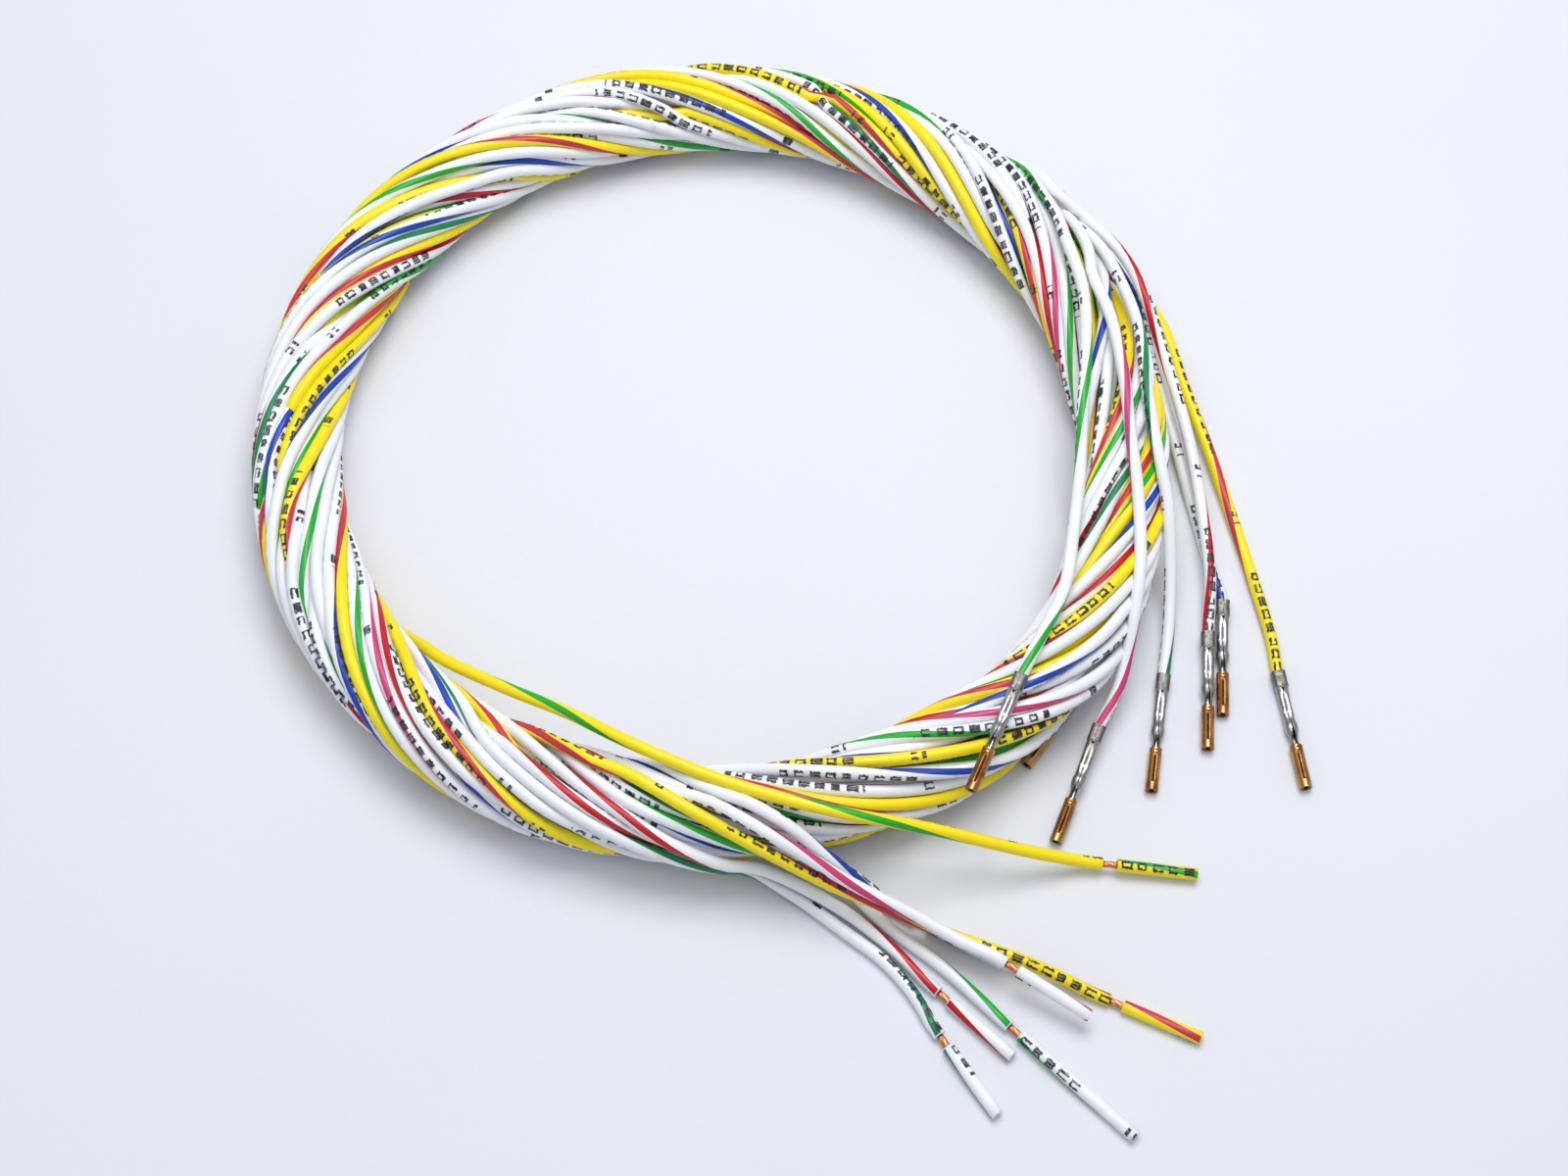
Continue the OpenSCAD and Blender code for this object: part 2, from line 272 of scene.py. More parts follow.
def shared_out(ends, rng):
    """A lattice place for every pass of every wire. Short drifts between passes, and places near the
    surface where a wire enters and leaves, are likelier but not sure."""
    places = lattice()
    sixth = 2 * math.pi / PASSES
    inward = STRAND_R / ENTRY_R
    wanted_in = []
    wanted_out = []
    for first, last, place_in, place_out in ends:
        for wanted, place, index in ((wanted_in, place_in, first), (wanted_out, place_out, last)):
            on_edge = place / np.linalg.norm(place) * STRAND_R * inward
            wanted.append(turned(on_edge, TWIST * STEP * (index % SECTIONS)))
    near_end = 12
    order = list(range(len(places)))
    rng.shuffle(order)

    def place(w, j):
        return places[order[w * PASSES + j]]

    def cost(w, j):
        total = 0
        here = place(w, j)
        if j == 0:
            total += near_end * np.sum((here - wanted_in[w]) ** 2)
        else:
            total += np.sum((place(w, j - 1) - turned(here, sixth)) ** 2)
        if j == PASSES - 1:
            total += near_end * np.sum((here - wanted_out[w]) ** 2)
        else:
            total += np.sum((here - turned(place(w, j + 1), sixth)) ** 2)
        return total

    # warm enough that every wire keeps moving in and out of the bundle
    heat = (LATTICE_STEP * 2.1) ** 2
    for _ in range(9000):
        a, b = rng.sample(range(len(order)), 2)
        pair = [divmod(a, PASSES), divmod(b, PASSES)]
        before = sum(cost(w, j) for w, j in pair)
        order[a], order[b] = order[b], order[a]
        after = sum(cost(w, j) for w, j in pair)
        if after > before and rng.random() > math.exp((before - after) / heat):
            order[a], order[b] = order[b], order[a]
    return places[np.array(order)].reshape(len(NAMES), PASSES, 2)


def wander(rng, count, size):
    """Smooth random drift along a strand."""
    t = np.arange(count) * STEP
    drift = np.zeros((count, 2))
    for rate in (0.7, 1.3, 2.1, 3.4):
        for axis in range(2):
            drift[:, axis] += size / 2 * math.cos(rng.uniform(0, 6.28)) * np.sin(
                rate * t + rng.uniform(0, 6.28))
    return drift


def first_guess(ends, rng):
    """Section places of every strand, wire by wire, before the strands push each other apart."""
    slots = shared_out(ends, rng)
    sixth = 2 * math.pi / PASSES
    guess = np.zeros((len(NAMES), PASSES * SECTIONS, 2))
    for w in range(len(NAMES)):
        for j in range(PASSES):
            start = slots[w, j]
            end = turned(slots[w, j + 1], sixth) if j + 1 < PASSES else start
            i = np.arange(SECTIONS)
            blend = (0.5 - 0.5 * np.cos(math.pi * i / SECTIONS))[:, None]
            local = start * (1 - blend) + end * blend
            guess[w, j * SECTIONS:(j + 1) * SECTIONS] = turned(local, -TWIST * STEP * i)
        guess[w] += wander(rng, len(guess[w]), 0.0014)
    return guess


def fixed_passes():
    """Places of the leads, tails and contacts in each section that they cross, with their radii."""
    rows = []
    for wire in WIRES.values():
        contact = [pose_point(wire["contact"], d) for d in (0, 0.01, CONTACT_L)]
        for route, radius in (
            (wire["lead"] + contact[:1], WIRE_R),
            (contact, WIRE_R + 0.0002),
            (wire["tail"] + [pose_point(wire["cut"], -STRAIGHT_L), wire["cut"][0]], WIRE_R),
        ):
            angle, section = section_of(smooth_curve(route, 0.001))
            angle = np.unwrap(angle)
            if angle[-1] < angle[0]:
                angle, section = angle[::-1], section[::-1]
            indices = np.arange(math.ceil(angle[0] / STEP), math.floor(angle[-1] / STEP) + 1)
            found = np.stack([np.interp(indices * STEP, angle, section[:, k]) for k in range(2)], axis=1)
            near = np.abs(found[:, 0]) < 2 * BUNDLE_R
            rows.append((indices[near] % SECTIONS, found[near], radius))
    return rows


def relaxed_strands():
    """Each wire's places around the coil. The strands are pushed apart, which lessens their overlaps
    and doesn't end them all."""
    rng = random.Random(5)
    ends = [strand_ends(name) for name in NAMES]
    places = first_guess(ends, rng)
    count = PASSES * SECTIONS
    free = np.zeros((len(NAMES), count), bool)
    # the bundle is a little loose in places
    angle = np.arange(count) * STEP
    from_sag = (angle - SAG_ANGLE + math.pi) % (2 * math.pi) - math.pi
    sag = np.exp(-(from_sag / SAG_SPREAD) ** 2)
    middle = np.stack([SAG * sag, np.zeros(count)], axis=1)
    places += middle
    loose = 1 + 0.03 * (np.sin(3 * angle + 1) + np.sin(7 * angle + 2)) + 0.05 * sag
    limit = np.tile(STRAND_R * loose, (len(NAMES), 1))
    climb = 7
    for w, (first, last, place_in, place_out) in enumerate(ends):
        free[w, first:last + 1] = True
        for k in range(climb):
            share = 1 - k / climb
            for index, place in ((first + k, place_in), (last - k, place_out)):
                limit[w, index] += share * max(0, np.linalg.norm(place - middle[index]) - STRAND_R)
        places[w, first] = place_in
        places[w, last] = place_out

    rows = fixed_passes()
    fixed = np.zeros((SECTIONS, len(rows), 2))
    there = np.zeros((SECTIONS, len(rows)), bool)
    radius = np.full(len(NAMES) * PASSES + len(rows), WIRE_R)
    for k, (indices, found, r) in enumerate(rows):
        fixed[indices, k] = found
        there[indices, k] = True
        radius[len(NAMES) * PASSES + k] = r
    reach = radius[:, None] + radius[None, :]

    def by_section(a):
        return a.reshape((len(NAMES) * PASSES, SECTIONS) + a.shape[2:]).swapaxes(0, 1)

    shown = np.concatenate([by_section(free), there], axis=1)
    both = shown[:, :, None] & shown[:, None, :] & ~np.eye(shown.shape[1], dtype=bool)
    moving = by_section(free)
    inner = free.copy()
    for w, (first, last, _, _) in enumerate(ends):
        inner[w, first] = inner[w, last] = False
    floor = WIRE_R - BUNDLE_Z
    rounds = 280
    for k in range(rounds):
        # along each strand, in a frame that turns with the bundle
        calm = 0.45 if k < rounds * 0.7 else 0.28
        inside = places - middle
        between = 0.5 * (turned(inside[:, :-2], -TWIST * STEP) + turned(inside[:, 2:], TWIST * STEP))
        keep = inner[:, 1:-1, None]
        places[:, 1:-1] += np.where(keep, calm * (between - inside[:, 1:-1]), 0)
        # across each section
        if k % 8 == 0:
            slope = np.gradient(places, axis=1) / (COIL_R * STEP)
            slopes = np.concatenate([by_section(slope), np.zeros_like(fixed)], axis=1)
            lean = 0.5 * (slopes[:, :, None] + slopes[:, None])
            stretch = 1 + np.sum(lean ** 2, axis=-1)
        spots = np.concatenate([by_section(places), fixed], axis=1)
        gap = spots[:, :, None] - spots[:, None]
        flat = np.sum(gap ** 2, axis=-1)
        apart = np.sqrt(np.maximum(flat - np.sum(gap * lean, axis=-1) ** 2 / stretch, 1e-14))
        depth = np.where(both, np.maximum(reach - apart, 0), 0)
        push = (depth / np.sqrt(np.maximum(flat, 1e-14)))[..., None] * gap
        push[:, :, :len(NAMES) * PASSES] *= 0.5
        shift = push.sum(axis=2)[:, :len(NAMES) * PASSES] * 0.7
        shift = shift.swapaxes(0, 1).reshape(places.shape)
        places += np.where(inner[..., None], shift, 0)
        # inside the bundle and above the floor
        inside = places - middle
        scale = np.minimum(1, limit / np.maximum(np.linalg.norm(inside, axis=-1), 1e-9))
        places = np.where(inner[..., None], middle + inside * scale[..., None], places)
        places[..., 1] = np.where(inner, np.maximum(places[..., 1], floor), places[..., 1])
    strands = {}
    for w, (name, (first, last, _, _)) in enumerate(zip(NAMES, ends)):
        index = np.arange(first + 1, last)
        strands[name] = coil_point(index * STEP, places[w, first + 1:last])
    return strands


# ---------------------------------------------------------------- meshes


def add_mesh(name, vertices, faces, materials, slots=None):
    mesh = bpy.data.meshes.new(name)
    mesh.from_pydata(np.asarray(vertices).tolist(), [], faces)
    for material in materials:
        mesh.materials.append(material)
    if slots is not None:
        mesh.polygons.foreach_set("material_index", np.asarray(slots, np.int32))
    mesh.polygons.foreach_set("use_smooth", np.ones(len(mesh.polygons), bool))
    mesh.update()
    item = bpy.data.objects.new(name, mesh)
    bpy.context.scene.collection.objects.link(item)
    return item


def lofted_faces(rings, sides, start=0):
    """Four-sided faces between rings of the same number of points, as vertex indices."""
    r, k = np.meshgrid(np.arange(rings - 1), np.arange(sides), indexing="ij")
    here = start + r * sides
    after = (k + 1) % sides
    return np.stack([here + k, here + after, here + sides + after, here + sides + k], axis=-1).reshape(-1, 4)


def carried_frames(path):
    """Forward, up and right at every point of a path; up is carried along it without twisting."""
    forward = np.gradient(path, axis=0)
    forward /= np.linalg.norm(forward, axis=1)[:, None]
    up = np.zeros_like(path)
    now = np.array([0.0, 0.0, 1.0])
    for i, ahead in enumerate(forward):
        now = now - now.dot(ahead) * ahead
        now /= np.linalg.norm(now)
        up[i] = now
    return forward, up, np.cross(forward, up)


def length_along(path):
    return np.concatenate([[0], np.cumsum(np.linalg.norm(np.diff(path, axis=0), axis=1))])


def facing_direction(pose, degrees):
    """Direction square to a pose's heading: up at 0 degrees and its right-hand side at 90."""
    a = math.radians(degrees)
    return np.array((pose_matrix(pose).to_3x3() @ Vector((0, -math.sin(a), math.cos(a)))))


# ---------------------------------------------------------------- insulation

SIDES = 17
STRIPE_SIDES = 3
STRIPE_PITCH = 0.050
LEGEND_PITCH = 0.34
RING_STEP = 0.0023
CHAMFER = 0.00012
BORE_DEPTH = 0.0012


def stripe_angles(path, start, end, rng):
    """How far the stripe has turned at each point of a path, from the start's facing to the end's."""
    forward, up, right = carried_frames(path)
    along = length_along(path)
    first = math.atan2(start.dot(right[0]), start.dot(up[0]))
    last = math.atan2(end.dot(right[-1]), end.dot(up[-1]))
    turns = round(along[-1] / STRIPE_PITCH - (last - first) / (2 * math.pi))
    share = along / along[-1]
    # the pitch isn't even: it tightens and slackens by a few percent
    uneven = np.zeros(len(along))
    for k in range(1, 16):
        uneven += rng.uniform(-0.25, 0.25) * np.sin(math.pi * k * share)
    return first + (last - first + 2 * math.pi * turns) * share + uneven


def insulation(name, path, angles, legend, v_start, materials):
    """Hollow tube with its stripe turned to the given angles; legend is the printed line's angle.
    The UV map "wire" holds turns around from the legend and metres along."""
    forward, up, right = carried_frames(path)
    last = len(path) - 1
    bore = CONDUCTOR_R * 1.04
    rows = [(0, BORE_DEPTH, bore), (0, 0, bore), (0, 0, WIRE_R - CHAMFER), (0, CHAMFER, WIRE_R)]
    rows += [(i, 0, WIRE_R) for i in range(1, last)]
    rows += [(last, -CHAMFER, WIRE_R), (last, 0, WIRE_R - CHAMFER)]
    rows += [(last, 0, bore), (last, -BORE_DEPTH, bore)]
    index = np.array([row[0] for row in rows])
    shift = np.array([row[1] for row in rows])
    radius = np.array([row[2] for row in rows])
    offsets = (np.arange(SIDES + 1) - STRIPE_SIDES / 2) * 2 * math.pi / SIDES
    turn = angles[index][:, None] + offsets[None, :SIDES]
    outward = np.cos(turn)[..., None] * up[index][:, None] + np.sin(turn)[..., None] * right[index][:, None]
    centre = path[index] + shift[:, None] * forward[index]
    vertices = centre[:, None] + radius[:, None, None] * outward
    faces = lofted_faces(len(rows), SIDES)
    slots = np.zeros((len(rows) - 1, SIDES), int)
    slots[3:-3, :STRIPE_SIDES] = 1
    item = add_mesh(name, vertices.reshape(-1, 3), faces.tolist(), materials, slots.ravel())
    u = ((angles - legend)[index][:, None] + offsets[None]) / (2 * math.pi)
    v = v_start + length_along(path)[index] + shift
    around = np.stack([u[:-1, :-1], u[:-1, 1:], u[1:, 1:], u[1:, :-1]], axis=-1)
    along = np.stack([v[:-1], v[:-1], v[1:], v[1:]], axis=-1)[:, None]
    corners = np.stack([around, np.broadcast_to(along, around.shape)], axis=-1)
    layer = item.data.uv_layers.new(name="wire")
    layer.uv.foreach_set("vector", corners.reshape(-1).astype(np.float32))
    return item


def wire_path(name, strands):
    """Ring centres of a wire's insulation, from inside its contact round the coil to its cut."""
    wire = WIRES[name]
    ends = [pose_point(wire["contact"], HELD_L), wire["contact"][0]]
    route = np.vstack([
        ends, wire["lead"][::-1], strands[name], wire["tail"], [pose_point(wire["cut"], -STRAIGHT_L)],
        [wire["cut"][0]],
    ])
    return smooth_curve(route, RING_STEP)


def jacket_stem(wire):
    return "yellow" if wire["jacket"] == YELLOW else "white"


def add_wires(materials):
    strands = relaxed_strands()
    rng = random.Random(5)
    for name in NAMES:
        wire = WIRES[name]
        path = wire_path(name, strands)
        length = length_along(path)[-1]
        jacket = materials["jackets"][name]
        start = facing_direction(wire["contact"], wire["contact_facing"])
        end = facing_direction(wire["cut"], wire["cut_facing"])
        angles = stripe_angles(path, start, end, rng)
        legend = rng.uniform(0, 2 * math.pi) + 2 * math.pi * length_along(path) / LEGEND_PITCH
        tube = insulation(name + "_insulation", path, angles, legend, 0, jacket)
        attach(tube, "wire_bundle")
        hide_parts(name + "_coil", name + "_lead", name + "_tail")

        steps = round(wire["slug"] / RING_STEP)
        along = np.linspace(WINDOW, WINDOW + wire["slug"], steps + 1)
        path = np.array([pose_point(wire["cut"], distance) for distance in along])
        first = math.radians(wire["slug_facing"])
        angles = first + 2 * math.pi * (along - WINDOW) / STRIPE_PITCH
        legend = legend[-1] - 2 * math.pi * rng.uniform(0.1, 0.4) * np.ones(len(along))
        slug = insulation(name + "_slug_insulation", path, angles, legend, length, jacket)
        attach(slug, name + "_slug_body")
        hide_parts(name + "_slug")


# ---------------------------------------------------------------- conductor

STRANDS = 9
STRAND_PITCH = 0.011
BRUSH_END = 0.0079
SLUG_SHORT = 0.0004


def stranded_bar(pose, start, end):
    """Vertices and faces of a twisted bar of strands along a pose."""
    around = np.linspace(0, 2 * math.pi, STRANDS * 4, endpoint=False)
    radius = CONDUCTOR_R * (0.83 + 0.15 * np.abs(np.sin(around * STRANDS / 2)) ** 0.6)
    place = np.array(pose_matrix(pose))
    rings = []
    steps = max(2, round((end - start) / 0.0004))
    stations = [(start, 0.4)] + [(x, 1) for x in np.linspace(start, end, steps)] + [(end, 0.4)]
    for x, size in stations:
        turn = around + 2 * math.pi * x / STRAND_PITCH
        local = np.stack([
            np.full(len(around), x), -size * radius * np.sin(turn), size * radius * np.cos(turn)], axis=1)
        rings.append(local @ place[:3, :3].T + place[:3, 3])
    sides = len(around)
    faces = lofted_faces(len(rings), sides).tolist()
    faces.append(list(range(sides))[::-1])
    faces.append([(len(rings) - 1) * sides + k for k in range(sides)])
    return np.vstack(rings), faces


def add_conductor(name, material):
    wire = WIRES[name]
    vertices, faces = stranded_bar(wire["contact"], HELD_L, BRUSH_END)
    more, more_faces = stranded_bar(wire["cut"], 0, WINDOW + wire["slug"] - SLUG_SHORT)
    faces += [[i + len(vertices) for i in face] for face in more_faces]
    item = add_mesh(name + "_strands", np.vstack([vertices, more]), faces, [material])
    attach(item, "wire_bundle")
    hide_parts(name + "_conductor")


# ---------------------------------------------------------------- contact

# The contact's sheet is folded around its length. Each row is a station in millimetres: place along
# it, outer radius, height of the middle, half opening at the top in degrees, how square it is from
# 0 to 1, depth of the valley between rolled wings, and thickness of the sheet
FOLDS = [
    (0.00, 1.17, 0, 3, 0.55, 0, 0.17), (0.15, 1.15, 0, 3, 0.6, 0, 0.19), (0.5, 1.13, 0, 3, 0.7, 0, 0.19),
    (2.1, 1.13, 0, 3, 0.7, 0, 0.19), (2.45, 1.15, 0, 3, 0.6, 0, 0.19), (2.6, 1.12, 0, 5, 0.5, 0, 0.17),
    (2.7, 1.04, -0.02, 14, 0.4, 0, 0.2), (3.0, 0.98, -0.05, 12, 0.2, 0, 0.2),
    (3.2, 0.98, -0.06, 8, 0, 0.02, 0.3), (3.4, 0.98, -0.06, 6, 0, 0.06, 0.36),
    (3.9, 0.97, -0.08, 1, 0, 0.2, 0.42), (4.6, 0.93, -0.1, 0.4, 0, 0.28, 0.42),
    (6.8, 0.9, -0.1, 0.4, 0, 0.28, 0.4), (7.6, 0.9, -0.1, 1, 0, 0.24, 0.42),
    (8.0, 0.88, -0.08, 3, 0, 0.12, 0.36), (8.4, 0.93, -0.04, 4, 0, 0.04, 0.3),
    (8.9, 1.02, 0, 4, 0.1, 0, 0.25), (9.5, 1.04, 0, 6, 0.1, 0, 0.22), (10.1, 0.93, 0, 12, 0, 0, 0.2),
    (10.7, 0.72, 0, 26, 0, 0, 0.2), (11.2, 0.62, 0, 36, 0, 0, 0.2), (11.9, 0.64, 0, 30, 0, 0, 0.2),
    (12.2, 0.69, 0, 12, 0, 0, 0.22), (12.4, 0.69, 0, 3, 0, 0, 0.22), (13.2, 0.69, 0, 3, 0, 0, 0.22),
    (13.7, 0.69, 0, 3, 0, 0.3, 0.22), (17.6, 0.69, 0, 3, 0, 0.3, 0.22), (18.1, 0.69, 0, 3, 0, 0, 0.22),
    (19.2, 0.69, 0, 3, 0, 0, 0.22),
]
# The insulation crimp is duller than the wire crimp, with painted shade in its darker tin, and the socket is
# bare bronze painted darker as the shade inside the sleeve
DULLED_AND_SHADED_END = 0.0026
TIN_END = 0.0119
FOLD_SIDES = 26


def folded_section(radius, middle, opening, square, valley, sheet):
    """Outline of the sheet across the contact: its outside, then its inside back again."""
    a = np.linspace(-math.pi + opening, math.pi - opening, FOLD_SIDES)
    power = 2 + 3 * square
    reach = (np.abs(np.cos(a)) ** power + np.abs(np.sin(a)) ** power) ** (-1 / power)
    outer = radius * (1 - 0.1 * square) * reach - valley * np.exp(-((math.pi - np.abs(a)) / 0.38) ** 2)
    inner = outer - sheet
    y = np.concatenate([outer * np.sin(a), (inner * np.sin(a))[::-1]])
    z = middle - np.concatenate([outer * np.cos(a), (inner * np.cos(a))[::-1]])
    return y, z


def add_contact(name, materials):
    place = np.array(pose_matrix(WIRES[name]["contact"]))
    folds = np.array(FOLDS)
    folds[:, [0, 1, 2, 5, 6]] *= 0.001
    folds[:, 3] = np.radians(folds[:, 3])
    stations = np.unique(np.concatenate([folds[:, 0], np.arange(0, CONTACT_L, 0.0004)]))
    rings = []
    for x in stations:
        section = [np.interp(x, folds[:, 0], folds[:, k]) for k in range(1, 7)]
        y, z = folded_section(*section)
        local = np.stack([np.full(len(y), x), y, z], axis=1)
        rings.append(local @ place[:3, :3].T + place[:3, 3])
    sides = 2 * FOLD_SIDES
    faces = lofted_faces(len(rings), sides).tolist()
    for start, flip in ((0, False), ((len(rings) - 1) * sides, True)):
        for k in range(FOLD_SIDES - 1):
            face = [start + k, start + sides - 1 - k, start + sides - 2 - k, start + k + 1]
            faces.append(face[::-1] if flip else face)
    # Zone 0 is the insulation crimp, in tin darkened as painted shade
    zone = (stations[:-1] > DULLED_AND_SHADED_END - 0.0001).astype(int) + (stations[:-1] > TIN_END)
    # The socket zone and its end cap take bronze darkened as painted shade inside the sleeve
    slots = np.concatenate([np.repeat(zone, sides), np.repeat([0, 2], FOLD_SIDES - 1)])
    item = add_mesh(name + "_folded_contact", np.vstack(rings), faces, materials, slots)
    item.data.set_sharp_from_angle(angle=math.radians(50))
    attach(item, "wire_bundle")
    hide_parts(name + "_contact")


# ---------------------------------------------------------------- materials

INK = (0.010, 0.013, 0.022)
# Each metal, and the tarnish on it
# Tin of the insulation crimp: rougher, and darker as painted shade
TIN_DULLED_AND_SHADED = (0.24, 0.23, 0.225)
TIN_DULLED_AND_SHADED_DARK = (0.13, 0.125, 0.12)
TIN = (0.46, 0.46, 0.45)
TIN_DARK = (0.30, 0.30, 0.29)
BRONZE = (0.62, 0.33, 0.12)
BRONZE_DARK = (0.26, 0.10, 0.03)
# Bronze of the socket: its own colour, darker as painted shade inside the sleeve
BRONZE_IN_SOCKET_SHADE = (0.42, 0.22, 0.08)
BRONZE_IN_SOCKET_SHADE_DARK = (0.24, 0.11, 0.035)
COPPER = (0.80, 0.30, 0.14)
COPPER_DARK = (0.62, 0.20, 0.09)
# One printed mark and the space after it, half its height, the width of its strokes and how soft
# the ink's edge is; one printed group and the share of it that is inked
MARK = 0.0023
MARK_HALF = 0.00066
STROKE = 0.00042
INK_EDGE = 0.00007
GROUP = 0.041
GROUP_SHARE = 0.5


def new_material(name):
    material = bpy.data.materials.new(name)
    material.use_nodes = True
    tree = material.node_tree
    return material, tree, tree.nodes["Principled BSDF"]


def put(tree, socket, value):
    if isinstance(value, bpy.types.NodeSocket):
        tree.links.new(value, socket)
    else:
        socket.default_value = value


def calc(tree, operation, *values):
    node = tree.nodes.new("ShaderNodeMath")
    node.operation = operation
    for socket, value in zip(node.inputs, values):
        put(tree, socket, value)
    return node.outputs[0]


def ramp(tree, value, low, high, out_low=0.0, out_high=1.0):
    node = tree.nodes.new("ShaderNodeMapRange")
    for socket, given in zip(node.inputs, (value, low, high, out_low, out_high)):
        put(tree, socket, given)
    return node.outputs[0]


def blended(tree, factor, first, second):
    node = tree.nodes.new("ShaderNodeMix")
    node.data_type = "RGBA"
    put(tree, node.inputs[0], factor)
    for socket, value in ((node.inputs[6], first), (node.inputs[7], second)):
        put(tree, socket, (*value, 1) if isinstance(value, tuple) else value)
    return node.outputs[2]


def noise(tree, scale, detail=3):
    """Noise over the object, with its size in metres as 1 / scale."""
    coordinates = tree.nodes.new("ShaderNodeTexCoord").outputs["Object"]
    node = tree.nodes.new("ShaderNodeTexNoise")
    node.inputs["Scale"].default_value = scale
    node.inputs["Detail"].default_value = detail
    tree.links.new(coordinates, node.inputs["Vector"])
    return node.outputs[0]


def white_noise(tree, value, seed):
    node = tree.nodes.new("ShaderNodeTexWhiteNoise")
    node.noise_dimensions = "1D"
    put(tree, node.inputs["W"], calc(tree, "ADD", value, seed))
    return node.outputs[0]


def bumped(tree, shader, height, distance, strength=1.0):
    node = tree.nodes.new("ShaderNodeBump")
    node.inputs["Distance"].default_value = distance
    node.inputs["Strength"].default_value = strength
    tree.links.new(height, node.inputs["Height"])
    tree.links.new(node.outputs[0], shader.inputs["Normal"])


def printed_marks(tree):
    """1 where ink lies: groups of plain marks along one side of the wire. A mark is a block or the
    outline of one, and some outlines have one side open or a bar across their middle."""

    def below(value, limit):
        low = calc(tree, "SUBTRACT", limit, INK_EDGE)
        high = calc(tree, "ADD", limit, INK_EDGE)
        return ramp(tree, value, low, high, 1, 0)

    def beyond(value, limit):
        return calc(tree, "SUBTRACT", 1.0, below(value, limit))

    def all_of(first, *others):
        for other in others:
            first = calc(tree, "MULTIPLY", first, other)
        return first

    def chance(seed, share):
        return calc(tree, "LESS_THAN", white_noise(tree, number, seed), share)

    layer = tree.nodes.new("ShaderNodeUVMap")
    layer.uv_map = "wire"
    parts = tree.nodes.new("ShaderNodeSeparateXYZ")
    tree.links.new(layer.outputs[0], parts.inputs[0])
    turns, along = parts.outputs[0], parts.outputs[1]
    ragged = calc(tree, "MULTIPLY", calc(tree, "SUBTRACT", noise(tree, 2600, 3), 0.5), 0.0007)
    across = calc(tree, "SUBTRACT", calc(tree, "FRACT", calc(tree, "ADD", turns, 0.5)), 0.5)
    across = calc(tree, "ADD", calc(tree, "MULTIPLY", across, 2 * math.pi * WIRE_R), ragged)
    from_line = calc(tree, "ABSOLUTE", across)
    cell = calc(tree, "DIVIDE", calc(tree, "ADD", along, ragged), MARK)
    number = calc(tree, "FLOOR", cell)
    from_start = calc(tree, "MULTIPLY", calc(tree, "FRACT", cell), MARK)
    width = ramp(tree, white_noise(tree, number, 0.5), 0, 1, 0.6 * MARK, 0.84 * MARK)
    inside = all_of(below(from_line, MARK_HALF), below(from_start, width), beyond(from_start, 2 * INK_EDGE))
    strokes = [
        beyond(from_line, MARK_HALF - STROKE),
        below(from_start, STROKE),
        all_of(beyond(from_start, calc(tree, "SUBTRACT", width, STROKE)), chance(3.1, 0.55)),
        all_of(below(from_line, STROKE / 2), chance(7.3, 0.35)),
        chance(9.7, 0.15),
    ]
    drawn = strokes[0]
    for stroke in strokes[1:]:
        drawn = calc(tree, "MAXIMUM", drawn, stroke)
    place = calc(tree, "FRACT", calc(tree, "DIVIDE", along, GROUP))
    lone = all_of(calc(tree, "GREATER_THAN", place, 0.70), calc(tree, "LESS_THAN", place, 0.755))
    shown = calc(tree, "MAXIMUM", calc(tree, "LESS_THAN", place, GROUP_SHARE), lone)
    worn = ramp(tree, noise(tree, 1300, 3), 0.25, 0.5, 0.7, 1.0)
    return all_of(inside, drawn, shown, worn)


def insulation_material(name, colour):
    """Semi-gloss extruded insulation with a fine skin, faint smudges and printed marks."""
    material, tree, shader = new_material(name)
    plain = tuple(colour)
    darker = tuple(0.86 * c for c in colour)
    base = blended(tree, ramp(tree, noise(tree, 90, 4), 0.35, 0.75, 0, 0.5), plain, darker)
    smudge = ramp(tree, noise(tree, 420, 5), 0.66, 0.78, 0, 0.35)
    base = blended(tree, smudge, base, tuple(0.35 * c + 0.06 for c in colour))
    ink = printed_marks(tree)
    base = blended(tree, ink, base, INK)
    tree.links.new(base, shader.inputs["Base Color"])
    rough = ramp(tree, noise(tree, 700, 4), 0.3, 0.7, 0.30, 0.44)
    put(tree, shader.inputs["Roughness"], calc(tree, "ADD", rough, calc(tree, "MULTIPLY", ink, 0.15)))
    put(tree, shader.inputs["IOR"], 1.46)
    bumped(tree, shader, noise(tree, 2600, 4), 0.000012, 0.8)
    return material


def metal_material(name, colour, tarnish, rough_low, rough_high, scale, bump):
    """Metal with drawn-out tarnish, uneven polish and fine scratches."""
    material, tree, shader = new_material(name)
    base = blended(tree, ramp(tree, noise(tree, scale, 5), 0.35, 0.7), colour, tarnish)
    tree.links.new(base, shader.inputs["Base Color"])
    put(tree, shader.inputs["Metallic"], 1.0)
    rough = ramp(tree, noise(tree, 2 * scale, 4), 0.3, 0.7, rough_low, rough_high)
    put(tree, shader.inputs["Roughness"], rough)
    bumped(tree, shader, noise(tree, 3 * scale, 5), bump, 0.9)
    return material


def floor_material():
    material, tree, shader = new_material("paper")
    tone = ramp(tree, noise(tree, 9, 4), 0.3, 0.7, 0, 1)
    base = blended(tree, tone, FLOOR_LIGHT, FLOOR_DARK)
    tree.links.new(base, shader.inputs["Base Color"])
    put(tree, shader.inputs["Roughness"], 0.75)
    bumped(tree, shader, noise(tree, 500, 5), 0.0002, 0.35)
    return material


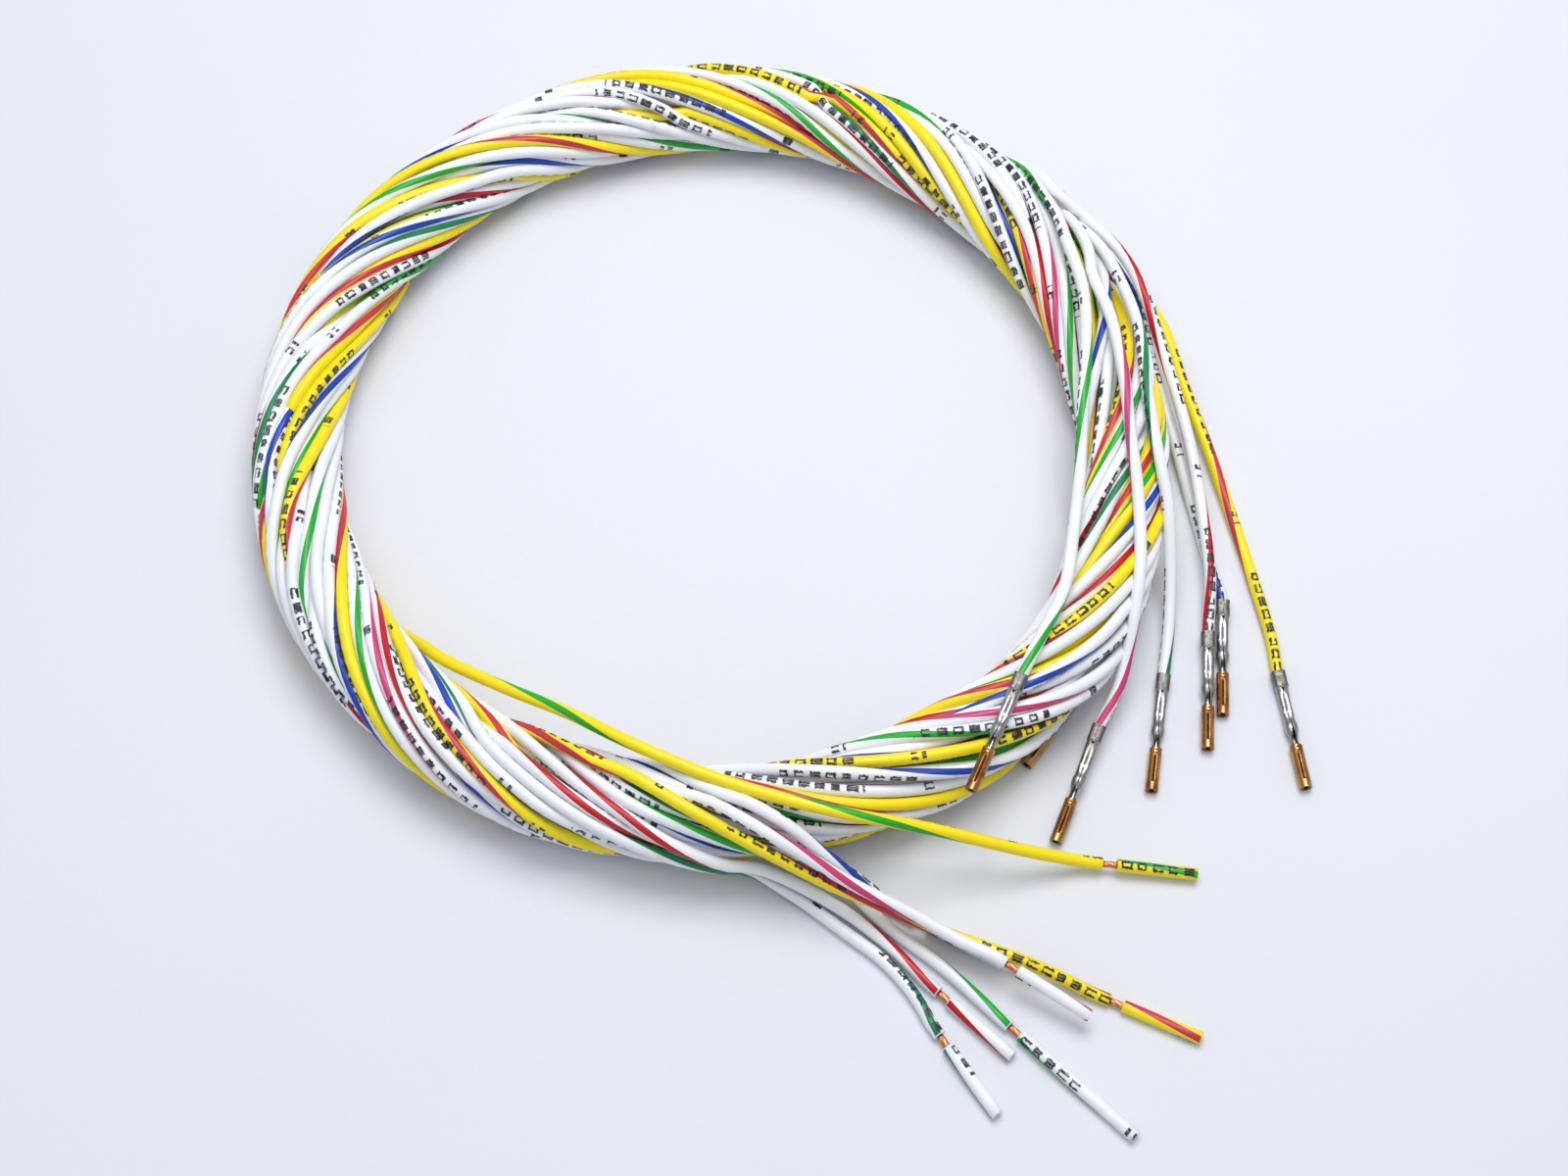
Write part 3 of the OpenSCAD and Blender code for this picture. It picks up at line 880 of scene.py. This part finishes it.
def make_materials():
    plain = {}
    jackets = {}
    for name in NAMES:
        wire = WIRES[name]
        stem = jacket_stem(wire)
        if stem not in plain:
            plain[stem] = insulation_material(stem + "_insulation", wire["jacket"])
        stripe = insulation_material(name + "_stripe", wire["stripe"])
        jackets[name] = [plain[stem], stripe]
    return {
        "jackets": jackets,
        # The insulation crimp's tin is darker as painted shade
        "tin_dulled_and_shaded": metal_material("tin_dulled_and_shaded", TIN_DULLED_AND_SHADED, TIN_DULLED_AND_SHADED_DARK, 0.38, 0.58, 900, 0.00005),
        "tin": metal_material("tin", TIN, TIN_DARK, 0.22, 0.42, 700, 0.00003),
        "bronze": metal_material("bronze", BRONZE, BRONZE_DARK, 0.2, 0.34, 320, 0.000006),
        # The socket's bronze is darker as painted shade inside the sleeve
        "bronze_in_socket_shade": metal_material(
            "bronze_in_socket_shade", BRONZE_IN_SOCKET_SHADE, BRONZE_IN_SOCKET_SHADE_DARK, 0.24, 0.4, 500, 0.000006),
        "copper": metal_material("copper", COPPER, COPPER_DARK, 0.25, 0.42, 1500, 0.00002),
    }


# ---------------------------------------------------------------- stage

FLOOR_LIGHT = (0.735, 0.75, 0.80)
FLOOR_DARK = (0.71, 0.727, 0.782)


def add_floor():
    size = 4
    corners = [(-size, -size, 0), (size, -size, 0), (size, size, 0), (-size, size, 0)]
    floor = add_mesh("floor", corners, [[0, 1, 2, 3]], [floor_material()])


def add_area_light(name, place, size, power, colour):
    data = bpy.data.lights.new(name, "AREA")
    data.shape = "DISK"
    data.size = size
    data.energy = power
    data.color = colour
    light = bpy.data.objects.new(name, data)
    light.location = place
    light.rotation_euler = (-Vector(place)).to_track_quat("-Z", "Y").to_euler()
    bpy.context.scene.collection.objects.link(light)


def add_lights():
    world = bpy.data.worlds.new("world")
    world.use_nodes = True
    background = world.node_tree.nodes["Background"]
    background.inputs["Color"].default_value = (0.90, 0.94, 1.0, 1)
    background.inputs["Strength"].default_value = 0.50
    bpy.context.scene.world = world
    add_area_light("key", (0.07, 0.15, 0.50), 0.34, 1.5, (1.0, 0.985, 0.97))
    add_area_light("sky", (-0.05, 0.05, 0.75), 0.80, 1.9, (0.93, 0.96, 1.0))


def finish_sleeves(material):
    """The CAD sleeves show as they are, with their edges rounded by a bevel."""
    for name in NAMES:
        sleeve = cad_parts[name + "_sleeve"]
        sleeve.data.materials.clear()
        sleeve.data.materials.append(material)
        bevel = sleeve.modifiers.new("soft_edges", "BEVEL")
        bevel.width = 0.00004
        bevel.segments = 2
        bevel.limit_method = "ANGLE"
        bevel.angle_limit = math.radians(40)


add_camera()
made = make_materials()
add_wires(made)
for wire_name in NAMES:
    add_conductor(wire_name, made["copper"])
    add_contact(wire_name, [made["tin_dulled_and_shaded"], made["tin"], made["bronze_in_socket_shade"]])
finish_sleeves(made["bronze"])
add_floor()
add_lights()
bpy.context.scene.view_settings.view_transform = "Standard"
